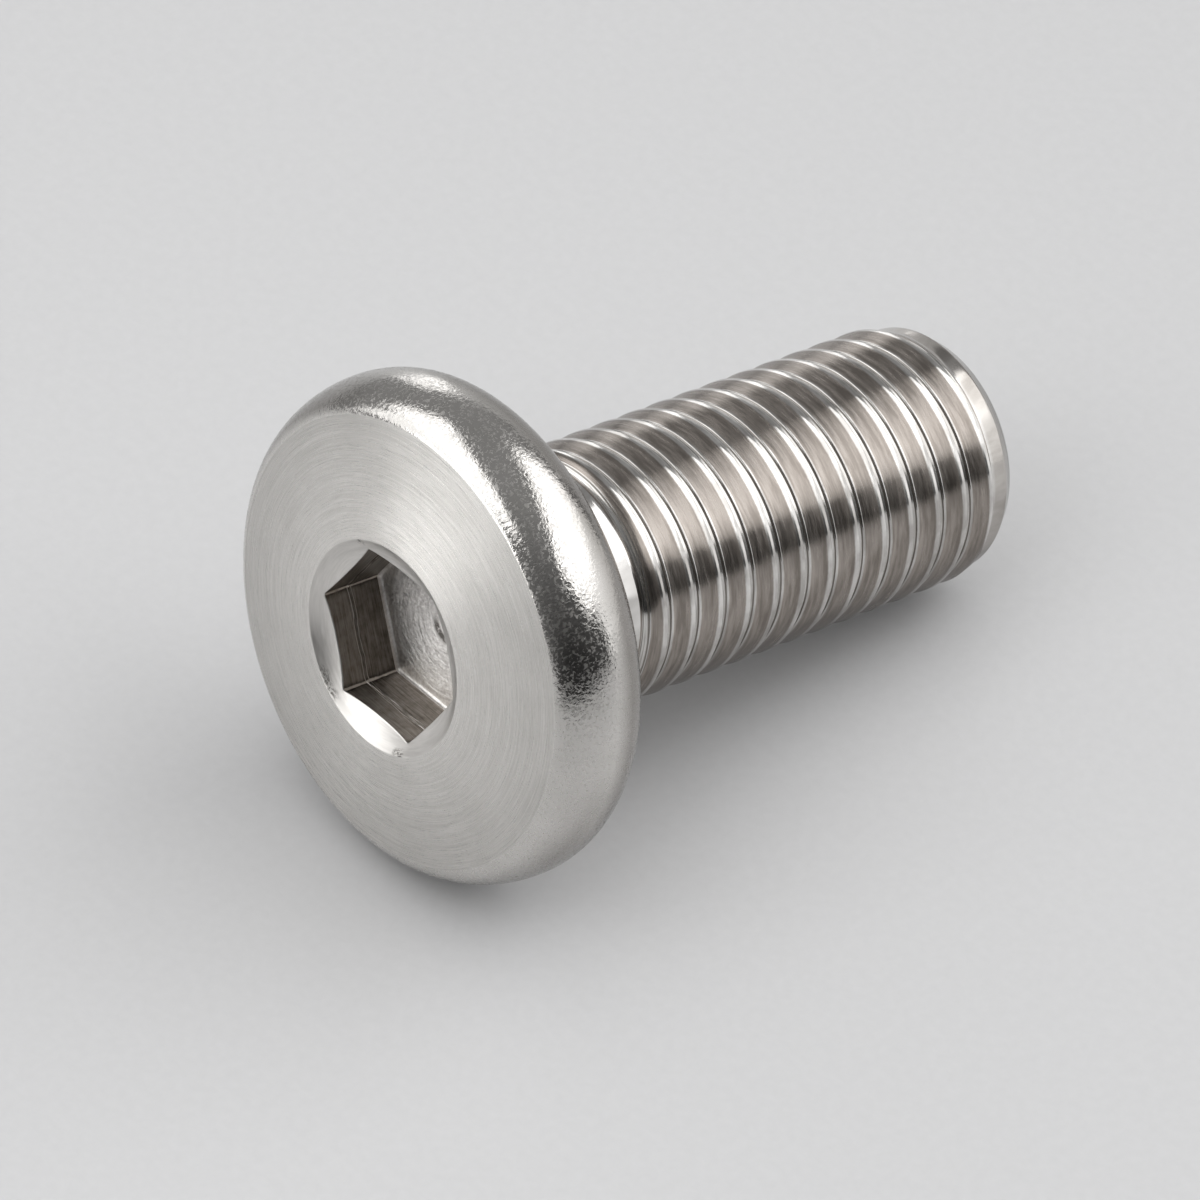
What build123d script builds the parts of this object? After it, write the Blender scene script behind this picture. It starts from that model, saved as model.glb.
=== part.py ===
"""Decorative bolt, M8 fine: a wide, low head with a hexagon socket on a threaded shank.

The real bolt is forged and turned from one piece of stainless bar, so it is one solid.
Millimetres, real size, +Z up. The bolt lies as it comes to rest: the head's rim and the
end of the thread both touch the floor at Z = 0, the face looks towards -Y and the shank
runs towards +Y, dipping by the rest tilt. The origin is the centre of the box's floor side.
"""

import math
import os

from build123d import *

os.makedirs("parts", exist_ok=True)

# ---------------------------------------------------------------- thread and shank
major_radius = 4.0  # M8 thread, 8 mm over the crests
blank_radius = 3.675  # plain neck at the pitch diameter, as a rolled thread leaves it
length_under_head = 18.0
tip_radius = 3.4  # end face, at the thread's root
tip_chamfer_length = 0.8
tip_edge_round = 0.2
neck_end = 6.4  # axial stations, measured from the face of the head
thread_start = 6.9
neck_fillet = 0.4

# ---------------------------------------------------------------- head
head_radius = 7.75
head_thickness = 3.7
face_edge_radius = 6.9  # where the turned face meets the polished rim
face_drop = 0.6  # the face is a low cone, this much lower at its edge
rim_start = 12.0  # ellipse parameter, degrees, at which the rim's front round leaves the face
widest_station = 2.4  # axial station of the widest ring
seat_radius = 6.9  # outer radius of the flat seat under the head

# ---------------------------------------------------------------- hexagon socket
across_flats = 5.1  # takes a 5 mm key (the standard socket is 5.02 to 5.14)
socket_depth = 2.35
socket_floor_round = 0.12
floor_cone_radius = 2.3
floor_cone_depth = 0.3
countersink_radius = 3.3
countersink_slope = 38.0  # degrees to the face at its outer edge, easing off inwards
countersink_hollow = 2.05  # radius of its hollow profile
countersink_depth = 0.39

# The rim's front round: an ellipse through the face's edge and the widest ring.
front_axial = (widest_station - face_drop) / math.cos(math.radians(rim_start))
front_radial = (head_radius - face_edge_radius) / (1 - math.sin(math.radians(rim_start)))
front_centre_radius = head_radius - front_radial


def hollow_radius_at(depth):
    """Radius of the countersink's hollow at this depth below the face."""
    slope = math.radians(countersink_slope)
    centre_station = -countersink_hollow * math.cos(slope)
    centre_radius = countersink_radius - countersink_hollow * math.sin(slope)
    return centre_radius + math.sqrt(countersink_hollow**2 - (depth - centre_station) ** 2)


# ---------------------------------------------------------------- rest pose
overall_length = head_thickness + length_under_head
thread_end = overall_length - tip_chamfer_length


def rim_reach(tilt):
    """How far the head's rim reaches down from the face's centre, at this tilt."""
    return (
        widest_station * math.sin(tilt)
        + seat_radius * math.cos(tilt)
        + math.hypot(
            (head_thickness - widest_station) * math.sin(tilt),
            (head_radius - seat_radius) * math.cos(tilt),
        )
    )


def thread_reach(tilt):
    """How far the end of the thread reaches down from the face's centre, at this tilt."""
    return thread_end * math.sin(tilt) + major_radius * math.cos(tilt)


low, high = 0.05, 0.5
for _ in range(60):
    middle = (low + high) / 2
    if rim_reach(middle) > thread_reach(middle):
        low = middle
    else:
        high = middle
rest_tilt = low  # about 11.6 degrees
sin_tilt, cos_tilt = math.sin(rest_tilt), math.cos(rest_tilt)

face_height = rim_reach(rest_tilt)

# The foremost point is the face's edge, the rearmost on the tip's rounded edge.
front_reach = face_edge_radius * sin_tilt - face_drop * cos_tilt
edge_turn = math.radians(90) - math.atan2(major_radius - tip_radius, tip_chamfer_length)
back_reach = (
    (overall_length - tip_edge_round) * cos_tilt
    + (tip_radius - tip_edge_round * math.tan(edge_turn / 2)) * sin_tilt
    + tip_edge_round
)
face_offset = (front_reach - back_reach) / 2

axis_direction = Vector(0, cos_tilt, -sin_tilt)
face_centre = Vector(0, face_offset, face_height)

# Profile plane: local x runs along the bolt's axis from the face, local y is the radius.
profile_plane = Plane(origin=face_centre, x_dir=axis_direction, z_dir=(1, 0, 0))
# Socket plane: on the face, its normal running down the bolt.
socket_plane = Plane(origin=face_centre, x_dir=(1, 0, 0), z_dir=axis_direction)
bolt_axis = Axis(face_centre, axis_direction)

with BuildPart() as bolt:
    # Head, neck and shank, turned about the bolt's axis.
    with BuildSketch(profile_plane) as outline:
        with BuildLine() as outline_edge:
            Polyline((0, 0), (0, countersink_radius), (face_drop, face_edge_radius))
            EllipticalCenterArc(
                (widest_station, front_centre_radius),
                front_axial,
                front_radial,
                start_angle=90,
                arc_size=90 - rim_start,
            )
            EllipticalCenterArc(
                (widest_station, seat_radius),
                head_thickness - widest_station,
                head_radius - seat_radius,
                start_angle=0,
                arc_size=90,
            )
            Polyline(
                (head_thickness, seat_radius),
                (head_thickness, blank_radius),
                (neck_end, blank_radius),
                (thread_start, major_radius),
                (thread_end, major_radius),
                (overall_length, tip_radius),
                (overall_length, 0),
                (0, 0),
            )
        make_face()
    revolve(axis=bolt_axis)

    # Round where the neck meets the seat, and at the edge of the end face.
    rings = bolt.edges().filter_by(GeomType.CIRCLE)
    fillet(
        rings.filter_by(
            lambda ring: abs(ring.radius - blank_radius) < 0.01
            and abs(profile_plane.to_local_coords(ring.arc_center).X - head_thickness) < 0.01
        ),
        radius=neck_fillet,
    )
    fillet(
        bolt.edges()
        .filter_by(GeomType.CIRCLE)
        .filter_by(lambda ring: abs(ring.radius - tip_radius) < 0.01),
        radius=tip_edge_round,
    )

    # Hexagon socket, with two of its flats level.
    with BuildSketch(socket_plane):
        RegularPolygon(radius=across_flats / 2, side_count=6, major_radius=False)
    extrude(amount=socket_depth, mode=Mode.SUBTRACT)

    # The socket's floor is rounded into its six walls.
    fillet(
        bolt.edges()
        .filter_by(GeomType.LINE)
        .filter_by(
            lambda edge: all(
                abs(profile_plane.to_local_coords(vertex.center()).X - socket_depth) < 0.001
                for vertex in edge.vertices()
            )
        ),
        radius=socket_floor_round,
    )

    # Shallow drill cone in the socket's floor.
    with BuildSketch(profile_plane):
        with BuildLine():
            Polyline(
                (socket_depth - 0.05, 0),
                (socket_depth - 0.05, floor_cone_radius),
                (socket_depth, floor_cone_radius),
                (socket_depth + floor_cone_depth, 0),
                close=True,
            )
        make_face()
    revolve(axis=bolt_axis, mode=Mode.SUBTRACT)

    # Hollow countersink around the socket's mouth.
    with BuildSketch(profile_plane):
        with BuildLine():
            Polyline(
                (countersink_depth, hollow_radius_at(countersink_depth)),
                (countersink_depth, 0),
                (0, 0),
                (0, countersink_radius),
            )
            ThreePointArc(
                (0, countersink_radius),
                (countersink_depth / 2, hollow_radius_at(countersink_depth / 2)),
                (countersink_depth, hollow_radius_at(countersink_depth)),
            )
        make_face()
    revolve(axis=bolt_axis, mode=Mode.SUBTRACT)

bolt.part.label = "bolt"
export_step(bolt.part, "parts/bolt.step")
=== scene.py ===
"""Decorative bolt: the looks. Metres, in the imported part's frame.

The whole bolt is one closed mesh, built in the bolt's own axes: z runs down the axis from the
centre of the face, and the angle b is measured from the upward radius towards +X.
"""
import math

import bpy
import numpy as np
from mathutils import Matrix, Vector


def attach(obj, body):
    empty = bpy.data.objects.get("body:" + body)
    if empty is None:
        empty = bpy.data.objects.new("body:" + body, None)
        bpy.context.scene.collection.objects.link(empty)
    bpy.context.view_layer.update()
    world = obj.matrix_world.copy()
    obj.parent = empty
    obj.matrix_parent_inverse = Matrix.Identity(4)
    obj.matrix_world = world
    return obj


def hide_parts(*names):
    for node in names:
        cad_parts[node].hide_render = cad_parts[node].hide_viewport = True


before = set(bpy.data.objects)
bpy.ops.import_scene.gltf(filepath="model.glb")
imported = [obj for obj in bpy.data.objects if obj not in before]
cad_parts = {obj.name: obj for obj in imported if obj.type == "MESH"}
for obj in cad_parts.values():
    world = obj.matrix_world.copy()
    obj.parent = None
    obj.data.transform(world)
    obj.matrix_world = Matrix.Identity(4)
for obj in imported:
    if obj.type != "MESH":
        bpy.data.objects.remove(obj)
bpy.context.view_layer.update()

MM = 0.001

# ------------------------------------------------------------------ dimensions (mm, as the CAD part)
MAJOR = 4.0
BLANK = 3.675
LENGTH = 21.7
TIP_R = 3.4
TIP_CHAMFER = 0.8
TIP_ROUND = 0.2
NECK_FILLET = 0.4
HEAD_R = 7.75
HEAD_T = 3.7
FACE_R = 6.9
FACE_DROP = 0.6
WIDEST = 2.4
SEAT_R = 6.9
AF = 5.1
SOCKET = 2.35
FLOOR_ROUND = 0.12
CONE_R = 2.3
CONE_DROP = 0.3
SINK_R = 3.3
SINK_SLOPE = math.radians(38)
SINK_HOLLOW = 2.05
RIM_START = math.radians(12)

PITCH = 1.08          # as the photo shows it: thirteen crests
THREAD_END = LENGTH - TIP_CHAMFER

# ------------------------------------------------------------------ rest pose, as in the CAD part


def rim_reach(a):
    return (WIDEST * math.sin(a) + SEAT_R * math.cos(a)
            + math.hypot((HEAD_T - WIDEST) * math.sin(a), (HEAD_R - SEAT_R) * math.cos(a)))


lo, hi = 0.05, 0.5
for _ in range(60):
    mid = (lo + hi) / 2
    if rim_reach(mid) > THREAD_END * math.sin(mid) + MAJOR * math.cos(mid):
        lo = mid
    else:
        hi = mid
TILT = lo
ST, CT = math.sin(TILT), math.cos(TILT)
front = FACE_R * ST - FACE_DROP * CT
turn = math.radians(90) - math.atan2(MAJOR - TIP_R, TIP_CHAMFER)
back = (LENGTH - TIP_ROUND) * CT + (TIP_R - TIP_ROUND * math.tan(turn / 2)) * ST + TIP_ROUND
FACE_Y = (front - back) / 2
FACE_Z = rim_reach(TILT)

axis_dir = Vector((0.0, CT, -ST))
up_dir = Vector((0.0, ST, CT))
side_dir = Vector((1.0, 0.0, 0.0))
face_centre = Vector((0.0, FACE_Y, FACE_Z)) * MM
BOLT_MATRIX = Matrix((
    (up_dir.x, side_dir.x, axis_dir.x, face_centre.x),
    (up_dir.y, side_dir.y, axis_dir.y, face_centre.y),
    (up_dir.z, side_dir.z, axis_dir.z, face_centre.z),
    (0.0, 0.0, 0.0, 1.0),
))

# ------------------------------------------------------------------ columns (angles) shared by all rows
BASE = 136
angles = list(np.arange(BASE) * 360.0 / BASE)
for corner in range(6):
    for extra in (-0.95, -0.45, 0.45, 0.95):
        angles.append((30 + 60 * corner + extra) % 360)
B = np.radians(np.array(sorted(angles)))
N = len(B)
CB, SB = np.cos(B), np.sin(B)

verts = []   # (x, y, z) in mm, bolt axes
faces = []
slots = []
SLOT = {"face": 0, "rim": 1, "under": 2, "thread": 3, "end": 4, "wall": 5, "floor": 6, "sink": 7}


def add(points):
    first = len(verts)
    verts.extend(points)
    return first


def ring(r, z):
    """A closed ring of N points. r and z are numbers or arrays over the columns."""
    r = np.broadcast_to(np.asarray(r, float), (N,))
    z = np.broadcast_to(np.asarray(z, float), (N,))
    start = add(list(zip(r * CB, r * SB, z)))
    return np.arange(start, start + N)


def strip(a, b, slot):
    """Quads between two rings, a coming before b on the way from the socket's floor to the tip."""
    for i in range(N):
        j = (i + 1) % N
        faces.append((int(a[i]), int(b[i]), int(b[j]), int(a[j])))
        slots.append(SLOT[slot])


def fan(a, z, slot):
    """Closes ring a with a centre point at height z."""
    c = add([(0.0, 0.0, z)])
    for i in range(N):
        j = (i + 1) % N
        faces.append((int(a[i]), c, int(a[j])))
        slots.append(SLOT[slot])


# ------------------------------------------------------------------ head, from the socket's floor out to the neck
def hexagon(af):
    """Radius of the socket's wall at each column, its corners eased."""
    half = af / 2
    off = (B + math.pi / 6) % (math.pi / 3) - math.pi / 6     # angle from the middle of a flat
    flat = half / np.cos(off)
    # ease the last few hundredths of a millimetre into the corner
    corner = half / math.cos(math.pi / 6)
    away = np.abs(np.abs(off) - math.pi / 6) * corner         # distance from the corner, along the wall
    ease = np.clip(1 - away / 0.055, 0, 1)
    return flat - 0.022 * ease ** 2


wall_top = hexagon(AF)
wall_low = hexagon(AF - 0.05)


def sink_z(r):
    """Depth of the countersink's hollow profile at this radius."""
    out = r - (SINK_R - SINK_HOLLOW * math.sin(SINK_SLOPE))
    return np.sqrt(SINK_HOLLOW ** 2 - out ** 2) - SINK_HOLLOW * math.cos(SINK_SLOPE)


# the socket's floor: centre, shallow cone, flat, round into the walls
rows = []
r_cone = [0.25, 0.6, 1.0, 1.4, 1.8, 2.1, CONE_R - 0.04]
first = ring(0.06, SOCKET + CONE_DROP * (1 - 0.06 / CONE_R))
rows.append((first, "floor"))
for r in r_cone:
    rows.append((ring(r, SOCKET + CONE_DROP * (1 - r / CONE_R)), "floor"))
rows.append((ring(CONE_R, SOCKET + 0.001), "floor"))
rows.append((ring(np.minimum(CONE_R + 0.04, wall_low - FLOOR_ROUND), SOCKET), "floor"))
for k in range(0, 7):
    t = math.pi / 2 * k / 6
    inner = wall_low - FLOOR_ROUND + FLOOR_ROUND * math.sin(t)
    rows.append((ring(inner, SOCKET - FLOOR_ROUND * (1 - math.cos(t))), "floor" if k < 6 else "floor"))
# walls, with the small step that the punch leaves a little under half way down
STEP = 1.13
for z, r in ((SOCKET - FLOOR_ROUND - 0.02, wall_low), (1.9, wall_low), (1.5, wall_low), (STEP + 0.12, wall_low),
             (STEP + 0.075, wall_low), (STEP + 0.06, wall_low + 0.018), (STEP + 0.03, wall_low + 0.018),
             (STEP + 0.015, wall_low - 0.004), (STEP, wall_low), (STEP - 0.02, wall_top), (STEP - 0.06, wall_top),
             (0.9, wall_top), (0.7, wall_top)):
    rows.append((ring(r, z), "wall"))
# mouth: the wall meets the countersink along six shallow arcs, with the edge broken
EDGE = 0.022
for dz in (0.12, 0.03):
    rows.append((ring(wall_top, sink_z(wall_top) + EDGE + dz), "wall"))
rows.append((ring(wall_top, sink_z(wall_top) + EDGE), "wall"))
rows.append((ring(wall_top + EDGE * 0.3, sink_z(wall_top) + EDGE * 0.25), "sink"))
rows.append((ring(wall_top + EDGE, sink_z(wall_top + EDGE)), "sink"))
inner_sink = wall_top + EDGE + 0.03
for k in (0.0, 0.2, 0.4, 0.6, 0.8, 1.0):
    r = inner_sink + (SINK_R - 0.045 - inner_sink) * k
    rows.append((ring(r, sink_z(r)), "sink"))
# the countersink's outer edge, slightly rounded into the face
face_slope = FACE_DROP / (FACE_R - SINK_R)


def face_z(r):
    return (r - SINK_R) * face_slope


rows.append((ring(SINK_R - 0.018, sink_z(SINK_R - 0.018) + 0.001), "sink"))
rows.append((ring(SINK_R + 0.004, 0.0045), "sink"))
rows.append((ring(SINK_R + 0.03, face_z(SINK_R + 0.03) + 0.0015), "face"))
for r in (SINK_R + 0.07, 3.6, 4.0, 4.4, 4.8, 5.2, 5.6, 6.0, 6.4, 6.7, FACE_R - 0.06):
    rows.append((ring(r, face_z(r)), "face"))
rows.append((ring(FACE_R - 0.014, face_z(FACE_R - 0.014)), "face"))
# rim: an elliptical round out to the widest ring and another back to the seat
FRONT = 32
front_axial = (WIDEST - FACE_DROP) / math.cos(RIM_START)
front_radial = (HEAD_R - FACE_R) / (1 - math.sin(RIM_START))


def front_round(a):
    return ring(HEAD_R - front_radial + front_radial * math.sin(a), WIDEST - front_axial * math.cos(a))


rows.append((ring(FACE_R, FACE_DROP + 0.001), "face"))
rows.append((front_round(RIM_START + math.radians(0.9)), "rim"))
for k in range(1, FRONT + 1):
    rows.append((front_round(RIM_START + (math.pi / 2 - RIM_START) * k / FRONT), "rim"))
BACK = 20
for k in range(1, BACK + 1):
    t = math.pi / 2 * k / BACK
    rows.append((ring(SEAT_R + (HEAD_R - SEAT_R) * math.cos(t), WIDEST + (HEAD_T - WIDEST) * math.sin(t)), "rim"))
for r in (SEAT_R - 0.06, 6.2, 5.2, 4.5, BLANK + NECK_FILLET + 0.05):
    rows.append((ring(r, HEAD_T), "under"))
for k in range(0, 9):
    t = math.pi / 2 * k / 8
    rows.append((ring(BLANK + NECK_FILLET * (1 - math.sin(t)), HEAD_T + NECK_FILLET * (1 - math.cos(t))), "under"))
rows.append((ring(BLANK, HEAD_T + NECK_FILLET + 0.08), "thread"))

fan_ring = rows[0][0]
centre = add([(0.0, 0.0, SOCKET + CONE_DROP)])
for i in range(N):
    j = (i + 1) % N
    faces.append((centre, int(fan_ring[i]), int(fan_ring[j])))
    slots.append(SLOT["floor"])
for (a, _), (b, slot) in zip(rows, rows[1:]):
    strip(a, b, slot)
neck_ring = rows[-1][0]

# ------------------------------------------------------------------ thread
def sind(a):
    return math.sin(math.radians(a))


def cosd(a):
    return math.cos(math.radians(a))


# One pitch of the profile from the crest's middle towards the tip: (radius, turn in degrees, steps),
# or (0, length, steps) for a straight run. Positive turns round over downwards, negative ones hollow out.
# A steep flank drops to a shallow root, a short step with a beaded lip climbs out of it, and a long low
# flank leads up to the next crest.
CREST = MAJOR - BLANK
STEEP, ROOT, STEP_UP, DIP, SLOPE, CROWN = 70.0, 8.0, 52.0, 12.0, 15.0, 4.7


def walk(flat):
    """The profile with a root of this length."""
    rise = (flat * sind(ROOT) + 0.055 * sind(STEP_UP) + 0.04 * (cosd(DIP) - cosd(STEP_UP)) + 0.03 * (cosd(DIP) - cosd(SLOPE))
            + CROWN * (cosd(7) - cosd(SLOPE)) + 0.25 * (1 - cosd(7)))
    fall = (rise - 0.030 * (1 - cosd(STEEP)) - 0.035 * (cosd(ROOT) - cosd(STEEP))) / sind(STEEP)
    runs = ((0, 0.03, 1), (0.030, STEEP, 4), (0, fall, 1), (0.035, -STEEP - ROOT, 4), (0, flat - 0.008, 2), (0, 0.008, 1),
            ("crease", STEP_UP - ROOT), (0, 0.008, 1), (0, 0.047, 1), (0.04, STEP_UP + DIP, 5), (0.03, -DIP - SLOPE, 2),
            (CROWN, SLOPE - 7, 4), (0.25, 7.0, 2), (0, 0.03, 1))
    x, h, a = 0.0, 0.0, 0.0
    points = [(x, h)]
    for run in runs:
        if run[0] == "crease":
            a -= math.radians(run[1])
            continue
        radius, amount, count = run
        for _ in range(count):
            turned_by = math.radians(amount / count) if radius else 0.0
            length = radius * abs(turned_by) if radius else amount / count
            mean = a + turned_by / 2
            x += length * math.cos(mean)
            h -= length * math.sin(mean)
            a += turned_by
            points.append((x, h))
    return points


low_r, high_r = 0.02, 0.8
for _ in range(60):
    mid = (low_r + high_r) / 2
    if walk(mid)[-1][0] < PITCH:
        low_r = mid
    else:
        high_r = mid
profile = [(x, CREST + h) for x, h in walk(low_r)[:-1]]
M = len(profile)
offsets = np.array([p[0] for p in profile])
heights = np.array([p[1] for p in profile])
CREST_AT = 7.39       # axial place of the first full crest on the camera's side (b = 45 degrees)
PHASE = CREST_AT - 45.0 / 360.0 * PITCH
START = 5.30          # first row of the thread's grid, at b = 0
LAND = 3.78           # plain end after the last turn

T1 = (21.62, 3.46)    # chamfer meets the edge's round
T2 = (21.70, 3.30)    # round meets the end face
ARC = TIP_ROUND * turn


def smooth_step(x):
    x = np.clip(x, 0, 1)
    return x * x * x * (x * (6 * x - 15) + 10)


def surface(s, height):
    """(r, z) at distance s down the bolt, where the thread's profile stands at this height."""
    z = np.minimum(s, T1[0])
    grow = smooth_step((z - 6.72) / 0.36)
    r = BLANK + grow * height
    fade = smooth_step((z - 20.42) / 0.26)
    r = r + fade * (LAND - r)
    cone = MAJOR - (z - THREAD_END) * (MAJOR - TIP_R) / TIP_CHAMFER
    k = 0.02
    gap = r - cone
    r = r - 0.5 * (gap + np.sqrt(gap * gap + k * k)) + 0.5 * k * 0.35
    r = np.where(z > T1[0] - 1e-9, T1[1], r)
    over = s - T1[0]
    a = np.clip(over / ARC, 0, 1) * turn
    cx, cr = T2[0] - TIP_ROUND, T2[1]
    start_angle = math.pi / 2 - turn          # the chamfer's outward normal, from the radius
    za = cx + TIP_ROUND * np.sin(math.pi / 2 - turn + a)
    ra = cr + TIP_ROUND * np.cos(math.pi / 2 - turn + a)
    z = np.where(over > 0, za, z)
    r = np.where(over > 0, ra, r)
    inward = over - ARC
    r = np.where(inward > 0, T2[1] - inward, r)
    z = np.where(inward > 0, LENGTH, z)
    return r, z


first_turn = math.floor((START - PHASE) / PITCH) - 1
TIP = 21.08                                    # the helical rows end on a plain ring here
grid = []                                      # rows of N + 1 points, b from 0 to 360 degrees
row_s = []
for k in range(first_turn, first_turn + 40):
    for m in range(M):
        s0 = PHASE + k * PITCH + offsets[m]
        if s0 < START - 1e-9 or s0 > TIP - 0.01:
            continue
        row_s.append((s0, m))
row_s.sort()
BW = np.append(B, 2 * math.pi)
for s0, m in row_s:
    s = s0 + PITCH * BW / (2 * math.pi)
    r, z = surface(s, heights[m])
    grid.append((r, z, m))
rows_n = len(grid)
# vertices: each row's last point is the first point of the row one pitch further on, and a row ends where
# it reaches the tip's ring
tip_r, tip_z = surface(np.full(N, TIP), 0.0)
tip_ring = ring(tip_r, tip_z)
index = np.zeros((rows_n + 1, N + 1), int)
index[:, :N] = tip_ring
index[:, N] = tip_ring[0]
for i, (r, z, m) in enumerate(grid):
    for j in range(N):
        if row_s[i][0] + PITCH * BW[j] / (2 * math.pi) < TIP - 0.01:
            index[i, j] = add([(r[j] * CB[j], r[j] * SB[j], z[j])])
for i in range(rows_n - M):
    index[i, N] = index[i + M, 0]
for i in range(rows_n):
    for j in range(N):
        corners = []
        for v in (index[i, j], index[i + 1, j], index[i + 1, j + 1], index[i, j + 1]):
            if int(v) not in corners:
                corners.append(int(v))
        if len(corners) > 2:
            faces.append(tuple(corners))
            slots.append(SLOT["thread"])
# start: the plain neck between its ring and the first helical row
for j in range(N - 1):
    faces.append((int(neck_ring[j]), int(index[0, j]), int(index[0, j + 1]), int(neck_ring[j + 1])))
    slots.append(SLOT["thread"])
# the last column closes against the grid's side, one triangle for each of its points
chain = [int(neck_ring[0])] + [int(index[i, 0]) for i in range(0, M + 1)]
pivot = int(neck_ring[N - 1])
for p, q in zip(chain, chain[1:]):
    faces.append((pivot, q, p))
    slots.append(SLOT["thread"])
faces.append((pivot, int(index[0, N - 1]), int(index[0, N])))
slots.append(SLOT["thread"])
# tip: the rest of the plain land, the chamfer, its rounded edge and the flat end face
last = tip_ring
for s in (21.11, 21.14, 21.16, 21.18, 21.2, 21.22, 21.25, 21.3, 21.38, 21.48, 21.58):
    following = ring(*surface(np.full(N, s), 0.0))
    strip(last, following, "thread")
    last = following
for k in range(9):
    following = ring(*surface(np.full(N, T1[0] + ARC * k / 8), 0.0))
    strip(last, following, "thread" if k < 7 else "end")
    last = following
for r in (T2[1] - 0.03, 2.4, 1.4, 0.55):
    following = ring(r, LENGTH)
    strip(last, following, "end")
    last = following
fan(last, LENGTH, "end")

# ------------------------------------------------------------------ mesh object
mesh = bpy.data.meshes.new("bolt_body")
turn_matrix = np.array(BOLT_MATRIX)[:3, :3]
co = np.array(verts, float) @ turn_matrix.T * MM + np.array(face_centre)
mesh.from_pydata([tuple(v) for v in co], [], [face[::-1] for face in faces])     # normals outwards
mesh.update()
bolt = bpy.data.objects.new("bolt_body", mesh)
bpy.context.scene.collection.objects.link(bolt)
mesh.polygons.foreach_set("material_index", np.array(slots, np.int32))
mesh.polygons.foreach_set("use_smooth", np.ones(len(faces), bool))

# ------------------------------------------------------------------ materials


class Nodes:
    """A short way to write a node tree."""

    def __init__(self, material):
        material.use_nodes = True
        self.tree = material.node_tree
        self.tree.nodes.clear()
        self.out = self.tree.nodes.new("ShaderNodeOutputMaterial")
        self.bsdf = self.tree.nodes.new("ShaderNodeBsdfPrincipled")
        self.tree.links.new(self.bsdf.outputs["BSDF"], self.out.inputs["Surface"])

    def new(self, kind, **settings):
        node = self.tree.nodes.new(kind)
        for key, value in settings.items():
            setattr(node, key, value)
        return node

    def link(self, a, b):
        self.tree.links.new(a, b)

    def put(self, value, socket):
        if isinstance(value, (int, float)):
            socket.default_value = value
        elif isinstance(value, tuple):
            socket.default_value = value
        else:
            self.link(value, socket)

    def math(self, op, a, b=0.0, c=0.0, clamp=False):
        node = self.new("ShaderNodeMath", operation=op, use_clamp=clamp)
        for value, socket in zip((a, b, c), node.inputs):
            self.put(value, socket)
        return node.outputs[0]

    def combine(self, x, y, z):
        node = self.new("ShaderNodeCombineXYZ")
        for value, socket in zip((x, y, z), node.inputs):
            self.put(value, socket)
        return node.outputs[0]

    def polar(self):
        """Bolt coordinates in mm: x, y, z, radius, and the unit direction across the axis."""
        coord = self.new("ShaderNodeTexCoord")
        place = self.new("ShaderNodeMapping", vector_type="TEXTURE")
        place.inputs["Location"].default_value = tuple(face_centre)
        place.inputs["Rotation"].default_value = tuple(BOLT_MATRIX.to_euler("XYZ"))
        place.inputs["Scale"].default_value = (MM, MM, MM)
        self.link(coord.outputs["Object"], place.inputs["Vector"])
        split = self.new("ShaderNodeSeparateXYZ")
        self.link(place.outputs[0], split.inputs[0])
        x, y, z = split.outputs[0], split.outputs[1], split.outputs[2]
        rr = self.math("ADD", self.math("MULTIPLY", x, x), self.math("MULTIPLY", y, y))
        r = self.math("SQRT", self.math("MAXIMUM", rr, 0.0001))
        return x, y, z, r, self.math("DIVIDE", x, r), self.math("DIVIDE", y, r)

    def noise(self, vector, scale, detail=3.0, rough=0.5, distortion=0.0):
        node = self.new("ShaderNodeTexNoise")
        node.inputs["Scale"].default_value = scale
        node.inputs["Detail"].default_value = detail
        node.inputs["Roughness"].default_value = rough
        node.inputs["Distortion"].default_value = distortion
        self.link(vector, node.inputs["Vector"])
        return node.outputs["Fac"]

    def ramp(self, value, stops):
        node = self.new("ShaderNodeValToRGB")
        ramp = node.color_ramp
        while len(ramp.elements) < len(stops):
            ramp.elements.new(0.5)
        for element, (place, colour) in zip(ramp.elements, stops):
            element.position = place
            element.color = (*colour, 1.0) if len(colour) == 3 else colour
        self.link(value, node.inputs[0])
        return node.outputs[0]

    def span(self, value, low, high, to_low, to_high):
        node = self.new("ShaderNodeMapRange")
        for v, socket in zip((value, low, high, to_low, to_high), node.inputs):
            self.put(v, socket)
        return node.outputs[0]

    def bump(self, height, strength, distance, normal=None):
        node = self.new("ShaderNodeBump")
        node.inputs["Strength"].default_value = strength
        node.inputs["Distance"].default_value = distance
        self.link(height, node.inputs["Height"])
        if normal is not None:
            self.link(normal, node.inputs["Normal"])
        return node.outputs[0]


def steel(name):
    material = bpy.data.materials.new(name)
    nodes = Nodes(material)
    nodes.bsdf.inputs["Metallic"].default_value = 1.0
    return material, nodes


def around(n, x, y, lines, across, grain):
    """A vector for noise drawn out along the turning direction and fine across it."""
    return n.combine(n.math("MULTIPLY", x, lines), n.math("MULTIPLY", y, lines), n.math("MULTIPLY", across, grain))


def cross_grain(n, cx, cy, amount):
    """Stretches highlights across the turning marks, towards and away from the axis."""
    n.bsdf.inputs["Anisotropic"].default_value = amount
    place = n.new("ShaderNodeMapping", vector_type="VECTOR")
    place.inputs["Rotation"].default_value = tuple(BOLT_MATRIX.to_euler("XYZ"))
    n.link(n.combine(cx, cy, 0.0), place.inputs["Vector"])
    n.link(place.outputs[0], n.bsdf.inputs["Tangent"])


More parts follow.
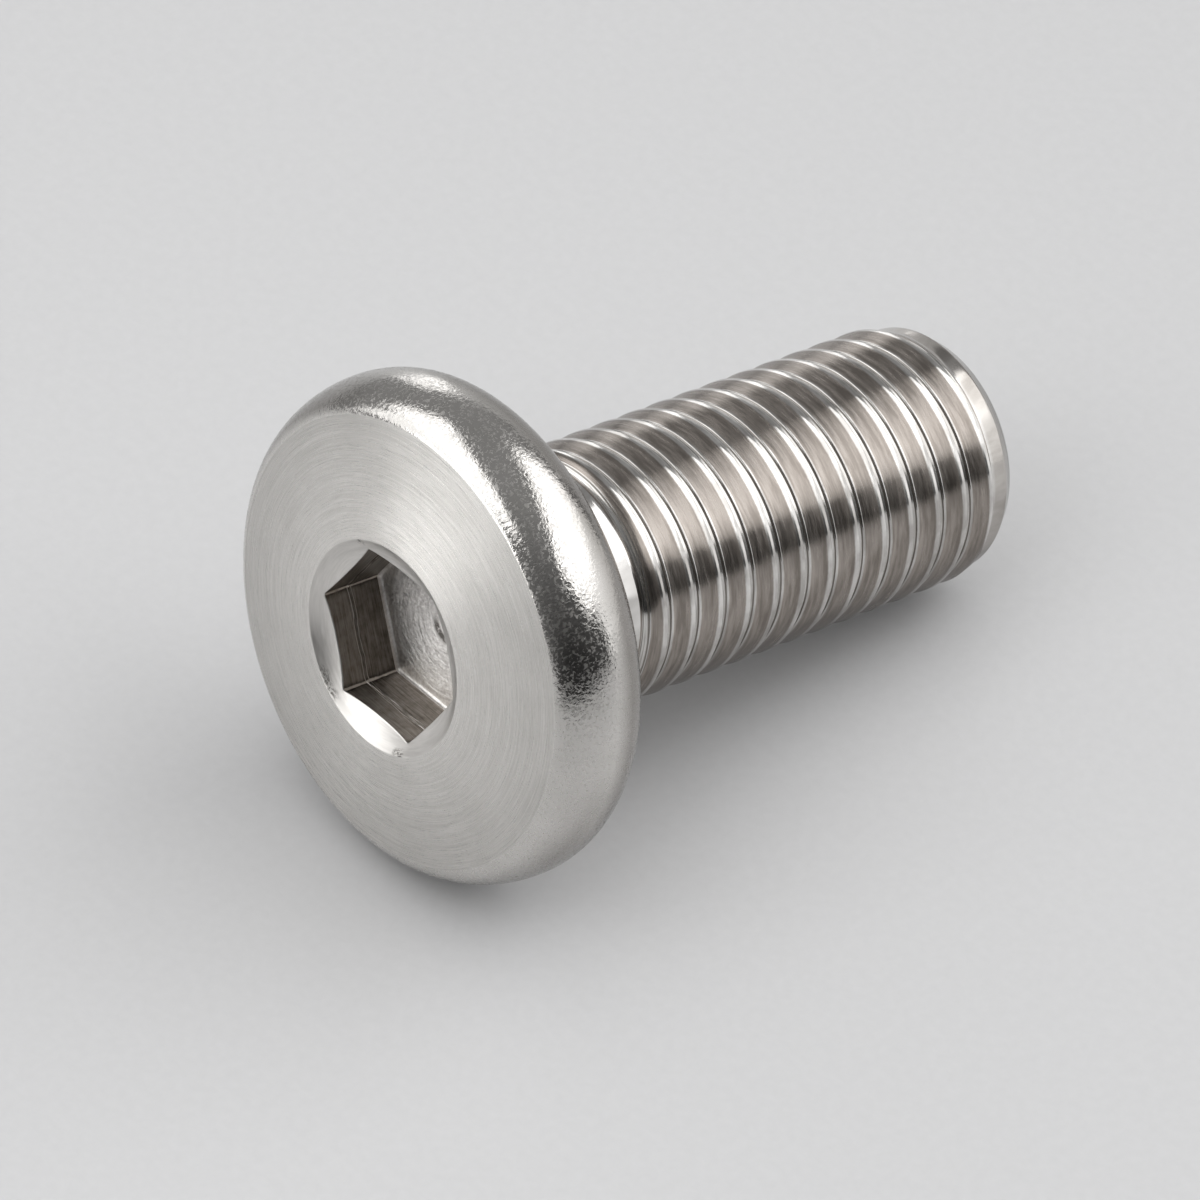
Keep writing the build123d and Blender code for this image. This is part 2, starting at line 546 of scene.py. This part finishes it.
def sector(n, cx, cy, degrees, half):
    """1 in the middle of this sector round the axis, 0 outside it."""
    along = n.math("ADD", n.math("MULTIPLY", cx, cosd(degrees)), n.math("MULTIPLY", cy, sind(degrees)))
    return n.span(along, cosd(half), cosd(half * 0.5), 0.0, 1.0)


def turned(name, dark, light, rough_low, rough_high, lines=2.4, grain=26.0, depth=0.004, anisotropic=0.0, edge=1.0, nicks=()):
    """Satin metal with concentric turning marks."""
    material, n = steel(name)
    x, y, z, r, cx, cy = n.polar()
    across = n.math("ADD", r, n.math("MULTIPLY", z, 0.8))
    marks = n.noise(around(n, cx, cy, lines, across, grain), 1.0, 3.0, 0.6)
    hair = n.noise(around(n, cx, cy, lines * 3.5, across, grain * 2.4), 1.0, 2.0, 0.5)
    cloud = n.noise(n.combine(x, y, z), 0.7, 2.0, 0.5)
    tone = n.math("ADD", n.math("MULTIPLY", marks, 0.6), n.math("ADD", n.math("MULTIPLY", hair, 0.25), n.math("MULTIPLY", cloud, 0.15)))
    colour = n.ramp(tone, ((0.38, dark), (0.62, light)))
    if edge < 1.0:
        colour = blend(n, "MULTIPLY", colour, n.ramp(n.span(r, 3.4, 6.9, 0.0, 1.0), ((0.0, (1.0, 1.0, 1.0)), (1.0, (edge, edge, edge)))))
    if nicks:
        worn = sector(n, cx, cy, *nicks[0])
        for nick in nicks[1:]:
            worn = n.math("MAXIMUM", worn, sector(n, cx, cy, *nick))
        torn = n.noise(around(n, cx, cy, 24.0, r, 26.0), 1.0, 3.0, 0.7)
        worn = n.math("MULTIPLY", n.math("MULTIPLY", worn, n.span(r, 3.06, 3.2, 0.0, 1.0)), n.span(torn, 0.47, 0.54, 0.0, 1.0))
        colour = blend(n, "MULTIPLY", colour, n.ramp(worn, ((0.0, (1.0, 1.0, 1.0)), (1.0, (0.30, 0.29, 0.28)))))
    n.link(colour, n.bsdf.inputs["Base Color"])
    n.link(n.span(hair, 0.35, 0.65, rough_low, rough_high), n.bsdf.inputs["Roughness"])
    n.link(n.bump(hair, 1.0, depth * 0.35 * MM, n.bump(marks, 1.0, depth * MM)), n.bsdf.inputs["Normal"])
    if anisotropic:
        cross_grain(n, cx, cy, anisotropic)
    return material


def blend(n, kind, a, b):
    node = n.new("ShaderNodeMix", data_type="RGBA", blend_type=kind)
    node.inputs[0].default_value = 1.0
    n.link(a, node.inputs[6])
    n.link(b, node.inputs[7])
    return node.outputs[2]


face_mat = turned("turned_face", (0.56, 0.545, 0.52), (0.71, 0.69, 0.665), 0.25, 0.35, depth=0.0065, anisotropic=0.7, edge=0.82)
sink_mat = turned("countersink", (0.57, 0.555, 0.53), (0.68, 0.66, 0.635), 0.31, 0.42, grain=20.0, depth=0.006, anisotropic=0.4,
                  nicks=((-142, 11), (156, 5), (-32, 3)))
under_mat = turned("turned_seat", (0.46, 0.44, 0.415), (0.56, 0.54, 0.515), 0.28, 0.38, grain=18.0, depth=0.004, anisotropic=0.6)
end_mat = turned("end_face", (0.37, 0.355, 0.335), (0.47, 0.455, 0.435), 0.26, 0.38, grain=16.0, depth=0.005, anisotropic=0.5)

# socket floor: turned and stippled, lighter than the walls
floor_mat, n = steel("socket_floor")
x, y, z, r, cx, cy = n.polar()
marks = n.noise(around(n, cx, cy, 2.0, r, 11.0), 1.0, 3.0, 0.6)
stipple = n.noise(n.combine(x, y, z), 9.0, 3.0, 0.6, 0.4)
tone = n.math("ADD", n.math("MULTIPLY", marks, 0.45), n.math("MULTIPLY", stipple, 0.55))
fleck = n.math("MULTIPLY", sector(n, cx, cy, -155, 60), n.math("MULTIPLY", n.span(r, 0.46, 0.54, 0.0, 1.0), n.span(r, 0.76, 0.66, 0.0, 1.0)))
fleck = n.math("MULTIPLY", fleck, n.span(stipple, 0.34, 0.46, 0.0, 1.0))
n.link(blend(n, "MULTIPLY", n.ramp(tone, ((0.36, (0.64, 0.615, 0.59)), (0.64, (0.98, 0.955, 0.925)))),
             n.ramp(fleck, ((0.0, (1.0, 1.0, 1.0)), (1.0, (0.20, 0.19, 0.18))))), n.bsdf.inputs["Base Color"])
n.link(n.span(stipple, 0.35, 0.65, 0.36, 0.52), n.bsdf.inputs["Roughness"])
n.link(n.bump(stipple, 1.0, 0.012 * MM, n.bump(marks, 1.0, 0.012 * MM)), n.bsdf.inputs["Normal"])

# rim: polished over a peened skin, so its reflections break up into small cells; its colour also carries painted shade
# towards the back and on the underside, and a painted dark reflection in one sector
rim_mat, n = steel("polished_rim")
x, y, z, r, cx, cy = n.polar()
place = n.combine(x, y, z)
cloud = n.noise(place, 0.8, 2.0, 0.5)
peel = n.noise(place, 9.0, 2.0, 0.5, 0.6)
pits = n.noise(place, 10.0, 1.0, 0.5, 0.8)
# painted shade: the rim's colour darkens towards its back (z 2.3 to 3.3 mm), standing in for the shadowed floor it
# would mirror there
rim_tone_and_painted_shade = blend(n, "MULTIPLY", n.ramp(cloud, ((0.3, (0.57, 0.555, 0.53)), (0.7, (0.62, 0.60, 0.58)))),
             n.ramp(n.span(z, 2.3, 3.3, 0.0, 1.0), ((0.0, (1.0, 1.0, 1.0)), (0.6, (0.52, 0.51, 0.50)))))
# painted shade: the rim is darker on the head's underside (cx below 0), from z 0.8 mm back
painted_underside_shade = n.math("MULTIPLY", n.span(cx, 0.0, -0.5, 0.0, 1.0), n.span(z, 0.8, 1.8, 0.0, 1.0))
rim_tone_and_painted_shade = blend(n, "MULTIPLY", rim_tone_and_painted_shade, n.ramp(painted_underside_shade, ((0.0, (1.0, 1.0, 1.0)), (1.0, (0.51, 0.50, 0.49)))))
# painted dark reflection: one sector of the rim, round b = -65 degrees, is darkened as if it mirrored a dark horizon
painted_dark_reflection = n.math("MULTIPLY", sector(n, cx, cy, -65, 42), n.span(z, 0.62, 0.8, 0.0, 1.0))
rim_tone_and_painted_shade = blend(n, "MULTIPLY", rim_tone_and_painted_shade, n.ramp(painted_dark_reflection, ((0.0, (1.0, 1.0, 1.0)), (1.0, (0.55, 0.54, 0.53)))))
n.link(rim_tone_and_painted_shade, n.bsdf.inputs["Base Color"])
n.link(n.span(pits, 0.46, 0.62, 0.06, 0.32), n.bsdf.inputs["Roughness"])
n.link(n.bump(peel, 1.0, 0.009 * MM), n.bsdf.inputs["Normal"])

# thread: bright crests, duller and darker flanks, drawn marks along the helix (radius is constant along it)
thread_mat, n = steel("rolled_thread")
x, y, z, r, cx, cy = n.polar()
streak = n.noise(around(n, cx, n.math("ADD", cy, n.math("MULTIPLY", z, 0.12)), 3.0, r, 34.0), 1.0, 3.0, 0.6)
hair = n.noise(around(n, cx, n.math("ADD", cy, n.math("MULTIPLY", z, 0.21)), 5.0, r, 90.0), 1.0, 2.0, 0.5)
height = n.span(r, 3.7, 4.0, 0.0, 1.0)
plain = n.math("MAXIMUM", n.span(z, 6.74, 6.88, 1.0, 0.0), n.span(z, 20.55, 20.64, 0.0, 1.0))
height = n.math("MAXIMUM", height, plain)
body = n.ramp(height, ((0.0, (0.74, 0.725, 0.70)), (0.38, (0.74, 0.725, 0.70)), (0.42, (0.36, 0.34, 0.315)), (0.51, (0.36, 0.34, 0.315)),
                       (0.53, (0.76, 0.745, 0.725)), (0.58, (0.76, 0.745, 0.725)), (0.61, (0.455, 0.413, 0.377)), (0.96, (0.365, 0.329, 0.298)),
                       (0.985, (0.76, 0.745, 0.725)), (1.0, (0.76, 0.745, 0.725))))
shade = n.ramp(streak, ((0.38, (0.62, 0.61, 0.60)), (0.62, (1.0, 1.0, 1.0))))
# painted shade: the thread darkens towards its underside (cx below 0.25), as if shaded and mirroring the shadowed floor
painted_underside_shade = n.ramp(n.span(cx, 0.25, -0.45, 0.0, 1.0), ((0.0, (1.0, 1.0, 1.0)), (1.0, (0.57, 0.56, 0.55))))
land = n.ramp(n.span(z, 20.5, 21.7, 0.0, 1.0), ((0.0, (1.0, 1.0, 1.0)), (0.13, (1.0, 1.0, 1.0)), (0.22, (0.76, 0.74, 0.72)),
                                                (0.60, (0.68, 0.66, 0.64)), (0.85, (0.50, 0.49, 0.475)), (1.0, (0.36, 0.35, 0.34))))
body = blend(n, "MULTIPLY", blend(n, "MULTIPLY", body, shade), blend(n, "MULTIPLY", painted_underside_shade, land))
n.link(body, n.bsdf.inputs["Base Color"])
polish = n.ramp(height, ((0.0, (0.13, 0.13, 0.13)), (0.38, (0.13, 0.13, 0.13)), (0.42, (0.3, 0.3, 0.3)), (0.51, (0.3, 0.3, 0.3)),
                         (0.53, (0.13, 0.13, 0.13)), (0.58, (0.13, 0.13, 0.13)), (0.61, (0.23, 0.23, 0.23)), (0.96, (0.25, 0.25, 0.25)), (0.985, (0.12, 0.12, 0.12)), (1.0, (0.12, 0.12, 0.12))))
n.link(n.math("MULTIPLY", n.span(streak, 0.35, 0.65, 0.85, 1.15), polish), n.bsdf.inputs["Roughness"])
n.link(n.bump(hair, 1.0, 0.0016 * MM, n.bump(streak, 1.0, 0.003 * MM)), n.bsdf.inputs["Normal"])
# the drawn marks run round the shank, so they spread highlights along it
n.bsdf.inputs["Anisotropic"].default_value = 0.9
place = n.new("ShaderNodeMapping", vector_type="VECTOR")
place.inputs["Rotation"].default_value = tuple(BOLT_MATRIX.to_euler("XYZ"))
n.link(n.combine(n.math("MULTIPLY", cx, 0.05), n.math("MULTIPLY", cy, 0.05), 1.0), place.inputs["Vector"])
n.link(place.outputs[0], n.bsdf.inputs["Tangent"])

# socket walls: broached, brown and dull, with chatter parallel to the mouth, worn corners and two scribed lines
wall_mat, n = steel("socket_wall")
x, y, z, r, cx, cy = n.polar()
chatter = n.noise(around(n, cx, cy, 3.0, z, 20.0), 1.0, 4.0, 0.6)
blot = n.noise(n.combine(x, y, z), 3.0, 3.0, 0.6)
tone = n.math("ADD", n.math("MULTIPLY", chatter, 0.6), n.math("MULTIPLY", blot, 0.4))
tone = n.math("ADD", tone, n.span(z, 0.9, 1.4, 0.03, -0.035))
base = n.ramp(tone, ((0.35, (0.15, 0.13, 0.11)), (0.65, (0.42, 0.385, 0.35))))
# distance from the nearest corner along the wall, in units of a tenth of a millimetre
turned_to = n.math("ADD", n.math("ARCTAN2", y, x), 11 * math.pi / 6)
corner = n.math("MULTIPLY", n.math("PINGPONG", turned_to, math.pi / 6), 29.4)
corner = n.math("ADD", corner, n.span(blot, 0.35, 0.65, -0.15, 0.15))
wear = n.ramp(n.math("MULTIPLY", corner, 0.5), ((0.0, (0.66, 0.60, 0.54)), (0.13, (0.58, 0.53, 0.48)), (0.21, (0.0, 0.0, 0.0)), (1.0, (0.0, 0.0, 0.0))))
dark = n.ramp(n.math("MULTIPLY", corner, 0.5), ((0.0, (1.0, 1.0, 1.0)), (0.18, (1.0, 1.0, 1.0)), (0.28, (0.42, 0.41, 0.40)), (0.62, (0.85, 0.85, 0.85)), (1.0, (1.0, 1.0, 1.0))))
wander = n.math("ADD", z, n.span(n.noise(n.combine(x, y, 0.0), 0.9, 2.0, 0.5), 0.3, 0.7, -0.05, 0.05))
scribe = n.ramp(n.span(wander, 0.95, 1.35, 0.0, 1.0), (
    (0.0, (0.0, 0.0, 0.0)), (0.28, (0.0, 0.0, 0.0)), (0.33, (0.95, 0.9, 0.85)), (0.38, (0.0, 0.0, 0.0)),
    (0.58, (0.0, 0.0, 0.0)), (0.63, (0.85, 0.80, 0.75)), (0.68, (0.0, 0.0, 0.0)), (1.0, (0.0, 0.0, 0.0))))
base = blend(n, "LIGHTEN", blend(n, "LIGHTEN", blend(n, "MULTIPLY", base, dark), wear), scribe)
n.link(base, n.bsdf.inputs["Base Color"])
n.link(n.span(blot, 0.35, 0.65, 0.28, 0.45), n.bsdf.inputs["Roughness"])
n.link(n.bump(chatter, 1.0, 0.012 * MM), n.bsdf.inputs["Normal"])

for material in (face_mat, rim_mat, under_mat, thread_mat, end_mat, wall_mat, floor_mat, sink_mat):
    mesh.materials.append(material)
mesh.polygons.foreach_set("material_index", np.array(slots, np.int32))
mesh.update()

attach(bolt, "root")
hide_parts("bolt")

# ------------------------------------------------------------------ floor
floor_mesh = bpy.data.meshes.new("floor")
steps = 96
floor_verts = [(0.0, 0.0, 0.0)]
floor_faces = []
radii = (0.05, 0.2, 0.8, 3.0)
for k, radius in enumerate(radii):
    for i in range(steps):
        a = 2 * math.pi * i / steps
        floor_verts.append((radius * math.cos(a), radius * math.sin(a), 0.0))
for i in range(steps):
    j = (i + 1) % steps
    floor_faces.append((0, 1 + i, 1 + j))
    for k in range(len(radii) - 1):
        p, q = 1 + k * steps, 1 + (k + 1) * steps
        floor_faces.append((p + i, q + i, q + j, p + j))
floor_mesh.from_pydata(floor_verts, [], floor_faces)
floor_mesh.update()
floor = bpy.data.objects.new("floor", floor_mesh)
bpy.context.scene.collection.objects.link(floor)
paper = bpy.data.materials.new("floor_paper")
n = Nodes(paper)
coord = n.new("ShaderNodeTexCoord")
fine = n.noise(coord.outputs["Object"], 2600.0, 3.0, 0.6)
n.link(n.ramp(fine, ((0.3, (0.595, 0.595, 0.60)), (0.7, (0.615, 0.615, 0.62)))), n.bsdf.inputs["Base Color"])
n.bsdf.inputs["Roughness"].default_value = 0.42
n.link(n.bump(fine, 0.25, 0.02 * MM), n.bsdf.inputs["Normal"])
floor_mesh.materials.append(paper)

# ------------------------------------------------------------------ light


def toward(azimuth, elevation):
    """Unit vector; azimuth 0 is +Y and 90 is +X."""
    a, e = math.radians(azimuth), math.radians(elevation)
    return Vector((math.sin(a) * math.cos(e), math.cos(a) * math.cos(e), math.sin(e)))


def panel(name, place, aim, width, height, radiance, colour=(1, 1, 1)):
    """A soft box of that radiance, seen only in reflections and by its light."""
    light = bpy.data.lights.new(name, "AREA")
    light.shape = "RECTANGLE"
    light.size, light.size_y = width, height
    light.energy = radiance * math.pi * width * height
    light.color = colour
    obj = bpy.data.objects.new(name, light)
    bpy.context.scene.collection.objects.link(obj)
    obj.location = place
    obj.rotation_mode = "QUATERNION"
    obj.rotation_quaternion = (Vector(place) - Vector(aim)).to_track_quat("Z", "Y")
    obj.visible_camera = False
    return obj


def softbox(name, azimuth, elevation, wide, high, radiance, distance=0.8):
    """A panel facing the bolt that spans these degrees across and up."""
    width = 2 * distance * math.tan(math.radians(wide / 2))
    height = 2 * distance * math.tan(math.radians(high / 2))
    return panel(name, toward(azimuth, elevation) * distance, (0, 0, 0.006), width, height, radiance)


softbox("right_high", 33, 46, 65, 36, 1.85, 1.6)
softbox("right_low", 31, 14, 54, 28, 1.05, 1.6)
softbox("strip", -56, 10, 12, 20, 1.2)
softbox("back_low", -32, 12, 48, 24, 0.35)
# the camera's left side lights the metal alone, so that the floor's shadows fall towards it
for box in (softbox("left_high", -136, 49, 66, 38, 1.65, 0.5), softbox("left_low", -140, 20, 50, 22, 1.3, 0.5),
            softbox("front_low", -155, 10, 30, 20, 1.9, 0.5)):
    box.visible_diffuse = False
# light for the floor, kept out of the metal's reflections; the last one evens its shadows out
overhead = panel("overhead", (0, 0, 0.9), (0, 0, 0), 1.2, 1.2, 0.5)
near = softbox("near", 178, 48, 44, 34, 1.7, 0.22)
fill = panel("fill", (0, 0, 1.0), (0, 0, 0), 1.0, 1.0, 0.9)
fill.data.use_shadow = False
for box in (overhead, near, fill):
    box.visible_glossy = False

# a dim room, darker on the camera's right
world = bpy.data.worlds.new("studio")
bpy.context.scene.world = world
world.use_nodes = True
tree = world.node_tree
background = tree.nodes["Background"]
sky = tree.nodes.new("ShaderNodeTexCoord")
dot = tree.nodes.new("ShaderNodeVectorMath")
dot.operation = "DOT_PRODUCT"
dot.inputs[1].default_value = (-0.887, 0.320, 0.330)
tree.links.new(sky.outputs["Generated"], dot.inputs[0])
room = tree.nodes.new("ShaderNodeMapRange")
for value, socket in zip((-0.8, 0.2, 0.03, 0.30), list(room.inputs)[1:5]):
    socket.default_value = value
tree.links.new(dot.outputs["Value"], room.inputs[0])
tree.links.new(room.outputs[0], background.inputs[0])
background.inputs[1].default_value = 1.0

# ------------------------------------------------------------------ camera
AZ, EL = math.radians(49.95), math.radians(42.7)
right = Vector((math.cos(AZ), math.sin(AZ), 0))
up = Vector((-math.sin(AZ) * math.sin(EL), math.cos(AZ) * math.sin(EL), math.cos(EL)))
back_v = Vector((math.sin(AZ) * math.cos(EL), -math.cos(AZ) * math.cos(EL), math.sin(EL)))
camera_data = bpy.data.cameras.new("camera")
camera = bpy.data.objects.new("camera", camera_data)
bpy.context.scene.collection.objects.link(camera)
DISTANCE = 0.400
SCALE = 34.5          # pixels of the 1200-pixel frame to a millimetre at the face
camera_data.sensor_width = 36.0
camera_data.lens = SCALE * DISTANCE * 1000 / 1200 * 36.0
camera_data.clip_start = 0.01
camera_data.clip_end = 20.0
offset_x, offset_y = (382.2 - 600) / SCALE * MM, (648.8 - 600) / SCALE * MM
camera.location = face_centre - right * offset_x + up * offset_y + back_v * DISTANCE
camera.rotation_mode = "QUATERNION"
camera.rotation_quaternion = Matrix((
    (right.x, up.x, back_v.x), (right.y, up.y, back_v.y), (right.z, up.z, back_v.z))).to_quaternion()
bpy.context.scene.camera = camera

view = bpy.context.scene.view_settings
view.view_transform = "Standard"
view.look = "None"
view.exposure = 0.0
view.gamma = 1.0

bpy.context.view_layer.update()
